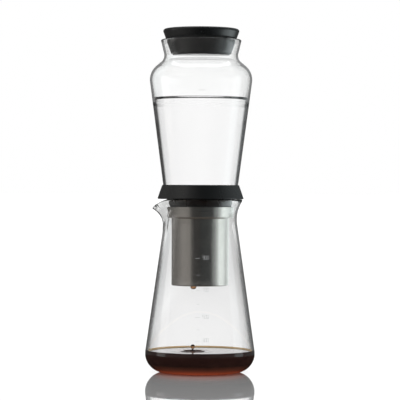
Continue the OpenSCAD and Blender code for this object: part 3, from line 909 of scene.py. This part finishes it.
class BREWER_OT_scale(bpy.types.Operator):
    """Prints the volume scale on the decanter and the fill line on the water chamber"""
    bl_idname = "brewer.scale"
    bl_label = "Printed scale"

    def execute(self, context):
        strokes = []
        for z, label in SCALE_MARKS:
            strokes.append(((MARK_LONG_X if label else MARK_SHORT_X, z), (MARK_END_X, z)))
            for place, figure in enumerate(label):
                for (x0, z0), (x1, z1) in FIGURES[figure]:
                    left, low = FIGURES_X + place * FIGURE_PITCH, z - FIGURES_DROP
                    strokes.append(((left + x0 * FIGURE_UNIT, low + z0 * FIGURE_UNIT),
                                    (left + x1 * FIGURE_UNIT, low + z1 * FIGURE_UNIT)))
        piece = printed("printed_scale", strokes, decanter_outer, SCALE_STROKE)
        printing = finish_of(
            "Grey print", moulded_finish, colour=context.scene.brewer_finish.printing,
            low=0.4, high=0.55, grain=900.0, depth=0.000005)
        piece.data.materials.append(printing)
        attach(piece, "decanter")
        stroke = tuple((x, FILL_MARK_Z) for x in FILL_MARK_X)
        fill_line = printed("printed_fill_line", [stroke], chamber_outer, FILL_STROKE)
        fill_line.data.materials.append(printing)
        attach(fill_line, "chamber")
        return {"FINISHED"}


class BREWER_OT_base(bpy.types.Operator):
    """Finishes the drip base, its gaskets and the nozzle with its screen"""
    bl_idname = "brewer.base"
    bl_label = "Drip base"

    def execute(self, context):
        dress(["drip_base", "screen_holder"], plastic())
        dress(["filter_gasket", "chamber_gasket", "nozzle_washer"], silicone())
        dress(["drip_nozzle", "nozzle_nut", "inlet_screen"], steel())
        return {"FINISHED"}


class BREWER_OT_filter(bpy.types.Operator):
    """Finishes the steel filter cup, its mesh and the spreader"""
    bl_idname = "brewer.filter"
    bl_label = "Filter"

    def execute(self, context):
        dress(["filter_cup", "mesh_ring", "spreader_plate", "spreader_knob", "filter_mesh"], steel())
        return {"FINISHED"}


class BREWER_OT_lid(bpy.types.Operator):
    """Finishes the lid and the disc that closes it"""
    bl_idname = "brewer.lid"
    bl_label = "Lid"

    def execute(self, context):
        dress(["lid_cap", "lid_disc"], plastic())
        return {"FINISHED"}


# ---- Studio ----

# How bright the studio is by bearing, in degrees from +Y towards +X. A stop is (bearing, brightness).
# Through clear glass: white behind, with a narrow dark flag on each side that draws the water's edges.
SEEN_THROUGH = [
    (-180, 0.1), (-135, 0.2), (-118, 1.0), (-70, 1.0), (-65, 0.1), (-47, 0.1), (-41, 1.02), (0, 1.12),
    (41, 1.02), (47, 0.08), (65, 0.08), (70, 1.0), (118, 1.0), (135, 0.2), (180, 0.1)]
# Mirrored by what stands inside the glass: a dim left side, and a bright right side.
MIRRORED_INSIDE = [
    (-180, 0.03), (-156, 0.03), (-146, 0.1), (-138, 0.26), (-110, 0.28), (-72, 0.15), (-45, 0.15), (-25, 0.1),
    (-12, 0.12), (-8, 1.1), (8, 1.15), (33, 1.3), (60, 0.85), (80, 1.45), (98, 1.5), (110, 0.8), (119, 0.42),
    (130, 0.24), (137, 0.05), (180, 0.03)]
# Mirrored by outer surfaces towards the horizon, where the table must see white and the glass's edges dark.
MIRRORED_LEVEL = [
    (-180, 0.05), (-104, 0.2), (-100, 1.2), (-80, 1.2), (-76, 0.1), (-12, 0.1), (-8, 1.15), (8, 1.15),
    (12, 0.12), (60, 0.15), (76, 0.15), (80, 1.2), (100, 1.2), (104, 0.2), (180, 0.05)]
# Mirrored upwards by outer surfaces.
MIRRORED_HIGH = [
    (-180, 0.05), (-167, 0.19), (-147, 0.42), (-128, 0.83), (-107, 0.74), (-85, 0.43), (-59, 0.35),
    (-35, 0.12), (-10, 0.2), (0, 0.6), (10, 0.3), (39, 0.3), (71, 0.58), (94, 0.56), (115, 0.26),
    (135, 0.15), (154, 0.06), (180, 0.05)]
# Mirrored downwards by outer surfaces: bright on the right, as from a low lamp there.
MIRRORED_LOW = [
    (-180, 0.01), (-156, 0.1), (-135, 0.3), (-113, 0.5), (-90, 0.4), (-55, 0.2), (-25, 0.08), (0, 0.6),
    (25, 0.15), (40, 0.5), (66, 2.4), (76, 2.8), (98, 2.0), (112, 0.7), (122, 0.4), (140, 0.1),
    (165, 0.02), (180, 0.01)]
NEUTRAL = (1.0, 1.0, 1.0)
WARM = (1.0, 0.97, 0.93)
COOL = (0.9, 1.0, 1.02)
# Brightness above and below the stops' elevations, and for a ray that never leaves one wall of glass
UPWARDS_INSIDE = 0.1
DOWNWARDS_INSIDE = (0.36, 0.33, 0.29)
UPWARDS_THROUGH_GLASS = 0.85
UPWARDS_THROUGH_WATER = 0.05
IN_ONE_WALL = 0.3


def light_paths(tree):
    """Light Path's outputs, and masks for a ray that was mirrored and for one that passed glass."""
    paths = add_node(tree, "LightPath", {}).outputs
    not_diffuse = math_node(tree, "SUBTRACT", 1.0, paths["Is Diffuse Ray"])
    bounced = math_node(tree, "GREATER_THAN", paths["Glossy Depth"], 0.5)
    through = math_node(tree, "GREATER_THAN", paths["Transmission Depth"], 0.5)
    return paths, math_node(tree, "MULTIPLY", bounced, not_diffuse), through


def studio_world(room):
    """White for the camera, and for glass and gloss a studio that is bright behind and on the right."""
    world = bpy.data.worlds.new("Studio")
    world.use_nodes = True
    tree = world.node_tree
    tree.nodes.clear()
    x, y, z = split(tree, place_of(tree, "Generated"))
    turn = math_node(tree, "DIVIDE", math_node(tree, "ARCTAN2", x, y), 2 * math.pi)
    bearing = math_node(tree, "ADD", turn, 0.5)

    def by_bearing(stops, left=WARM, right=COOL):
        shades = []
        for degrees, grey in stops:
            tint = right if degrees > 20 else left if degrees < -20 else NEUTRAL
            shades.append((degrees / 360 + 0.5, tuple(grey * c for c in tint)))
        return ramp(tree, bearing, shades)

    def rising(low, high):
        """0 below one elevation and 1 above another, in degrees."""
        return ease(tree, z, math.sin(math.radians(low)), math.sin(math.radians(high)))

    def choose(condition, when_true, when_false):
        return mixed_colour(tree, condition, when_false, when_true)

    paths, mirrored, through = light_paths(tree)
    one_wall = math_node(tree, "LESS_THAN", paths["Transmission Depth"], 2.5)
    water = math_node(tree, "GREATER_THAN", paths["Transmission Depth"], 4.5)
    outside = choose(rising(9, 13), by_bearing(MIRRORED_HIGH), by_bearing(MIRRORED_LEVEL))
    outside = choose(rising(-14, -9), outside, by_bearing(MIRRORED_LOW))
    upwards = choose(water, UPWARDS_THROUGH_WATER, UPWARDS_THROUGH_GLASS)
    clear = choose(rising(16, 30), upwards, by_bearing(SEEN_THROUGH, NEUTRAL, NEUTRAL))
    inside = choose(rising(9, 17), UPWARDS_INSIDE, by_bearing(MIRRORED_INSIDE))
    inside = choose(rising(-40, -30), inside, DOWNWARDS_INSIDE)
    inside = choose(water, clear, choose(one_wall, IN_ONE_WALL, inside))
    colour = choose(paths["Is Transmission Ray"], clear, room)
    colour = choose(mirrored, choose(through, inside, outside), colour)
    colour = choose(paths["Is Camera Ray"], 1.0, colour)
    background = add_node(tree, "Background", {"Color": colour})
    add_node(tree, "OutputWorld", {"Surface": background.outputs["Background"]})
    bpy.context.scene.world = world


def soft_box(name, place, aim, side, power):
    """A square lamp at a place, turned towards another."""
    light = bpy.data.lights.new(name, "AREA")
    light.size = side
    light.energy = power
    lamp = bpy.data.objects.new(name, light)
    lamp.location = place
    lamp.rotation_euler = (Vector(aim) - Vector(place)).to_track_quat("-Z", "Y").to_euler()
    bpy.context.scene.collection.objects.link(lamp)


TABLE_RINGS = (0.5, 2.0, 8.0, 60.0)     # radii in metres
TABLE_SIDES = 64
# Light added to the table by Layer Weight's Facing, so that it is white from above as well as at a low angle
FLOOR_LIFT = [(0.0, 0.15), (0.577, 0.27), (0.74, 0.47), (0.83, 0.62), (0.89, 0.0)]
# Gloss mirrors a painted shade under the brewer within the second of these radii, which fades out at the
# first, in metres
SHADE_UNDER_BREWER_RADII = (0.26, 0.16)
SHADE_UNDER_BREWER_COLOUR = (0.05, 0.03, 0.025)


def table_finish(name):
    """White glazed table top. Gloss looks past its far part into the studio and sees its near part
    as a painted shade, and glass sees it matt.
    """
    material, tree, shader, output = new_material(name, {"IOR": 1.6, "Coat Weight": 0.72, "Coat IOR": 1.6})
    broad = use_group(tree, grain_group(), Grain=300.0, Waves=3.0).outputs["Mask"]
    link(tree, mixed_colour(tree, broad, (0.8, 0.805, 0.81), (0.84, 0.84, 0.84)), shader.inputs["Base Color"])
    smudged(tree, shader, 4.0, 0.02, 0.04)
    lift = ramp(tree, facing_of(tree), [(at, (grey,) * 3) for at, grey in FLOOR_LIFT])
    link(tree, lift, shader.inputs["Emission Color"])
    paths, mirrored, through = light_paths(tree)
    link(tree, paths["Is Camera Ray"], shader.inputs["Emission Strength"])
    away = add_node(tree, "VectorMath", {0: place_of(tree)}, operation="LENGTH").outputs["Value"]
    # Painted shade: near the brewer gloss sees the table dark brown, as the shade under the brewer
    under = math_node(tree, "MULTIPLY", mirrored, ease(tree, away, *SHADE_UNDER_BREWER_RADII))
    surface = shader.outputs["BSDF"]
    for mask, kind, colour in (
            (through, "Diffuse", 0.9), (mirrored, "Transparent", 1.0), (under, "Diffuse", SHADE_UNDER_BREWER_COLOUR)):
        surface = mixed_shader(tree, mask, surface, plain_shader(tree, kind, colour))
    link(tree, surface, output.inputs["Surface"])
    return material


def table_mesh():
    """A flat disc, with rings that widen away from the brewer."""
    points = [(0, 0, 0)]
    for r in TABLE_RINGS:
        points += [(r / MM * math.cos(a), r / MM * math.sin(a), 0) for a in even_angles(TABLE_SIDES)]
    pairs = [(i, (i + 1) % TABLE_SIDES) for i in range(TABLE_SIDES)]
    faces = [(0, 1 + i, 1 + j) for i, j in pairs]
    for ring in range(len(TABLE_RINGS) - 1):
        low, high = 1 + ring * TABLE_SIDES, 1 + (ring + 1) * TABLE_SIDES
        faces += [(low + i, high + i, high + j, low + j) for i, j in pairs]
    return solid_of("table_top", points, faces)


SENSOR_W = 36


class BREWER_OT_studio(bpy.types.Operator):
    """Sets the table, the lamp, the room and the camera"""
    bl_idname = "brewer.studio"
    bl_label = "Studio"

    def execute(self, context):
        scene = context.scene
        look = scene.brewer_studio
        table = table_mesh()
        table.data.materials.append(finish_of("White table", table_finish))

        studio_world(look.room)
        soft_box("Top lamp", (0, 0.4, 2.2), aim=(0, 0, 0.18), side=2.0, power=16)

        view = bpy.data.cameras.new("Camera")
        view.sensor_width = SENSOR_W
        view.lens = SENSOR_W * look.distance / look.frame_w
        view.clip_end = 200
        camera = bpy.data.objects.new("Camera", view)
        camera.location = (look.aside, -look.distance, look.height)
        aim = Vector((look.aside, 0, look.aim_z)) - camera.location
        roll = Quaternion((0, 0, 1), look.roll)
        camera.rotation_euler = (aim.to_track_quat("-Z", "Y") @ roll).to_euler()
        scene.collection.objects.link(camera)
        scene.camera = camera
        scene.view_settings.view_transform = "Standard"
        return {"FINISHED"}


PIECES = (
    BREWER_OT_decanter, BREWER_OT_chamber, BREWER_OT_water, BREWER_OT_coffee, BREWER_OT_drop,
    BREWER_OT_scale, BREWER_OT_base, BREWER_OT_filter, BREWER_OT_lid, BREWER_OT_studio,
)

SETTINGS = {
    "brewer_glass": BrewerGlass,
    "brewer_liquids": BrewerLiquids,
    "brewer_finish": BrewerFinish,
    "brewer_studio": BrewerStudio,
}


class VIEW3D_PT_brewer(bpy.types.Panel):
    """Lists the brewer's pieces and its settings"""
    bl_label = "Slow-drip brewer"
    bl_space_type = "VIEW_3D"
    bl_region_type = "UI"
    bl_category = "Brewer"

    def draw(self, context):
        for operator in PIECES:
            self.layout.operator(operator.bl_idname)
        for setting in SETTINGS:
            group = getattr(context.scene, setting)
            box = self.layout.box()
            for name in group.__annotations__:
                box.prop(group, name)


def register():
    for kind in (*SETTINGS.values(), *PIECES, VIEW3D_PT_brewer):
        bpy.utils.register_class(kind)
    for name, kind in SETTINGS.items():
        setattr(bpy.types.Scene, name, PointerProperty(type=kind))


def unregister():
    for name in SETTINGS:
        delattr(bpy.types.Scene, name)
    for kind in reversed((*SETTINGS.values(), *PIECES, VIEW3D_PT_brewer)):
        bpy.utils.unregister_class(kind)


def main():
    """Builds every piece in order."""
    register()
    for operator in PIECES:
        group, name = operator.bl_idname.split(".")
        getattr(getattr(bpy.ops, group), name)()


if __name__ == "__main__":
    main()
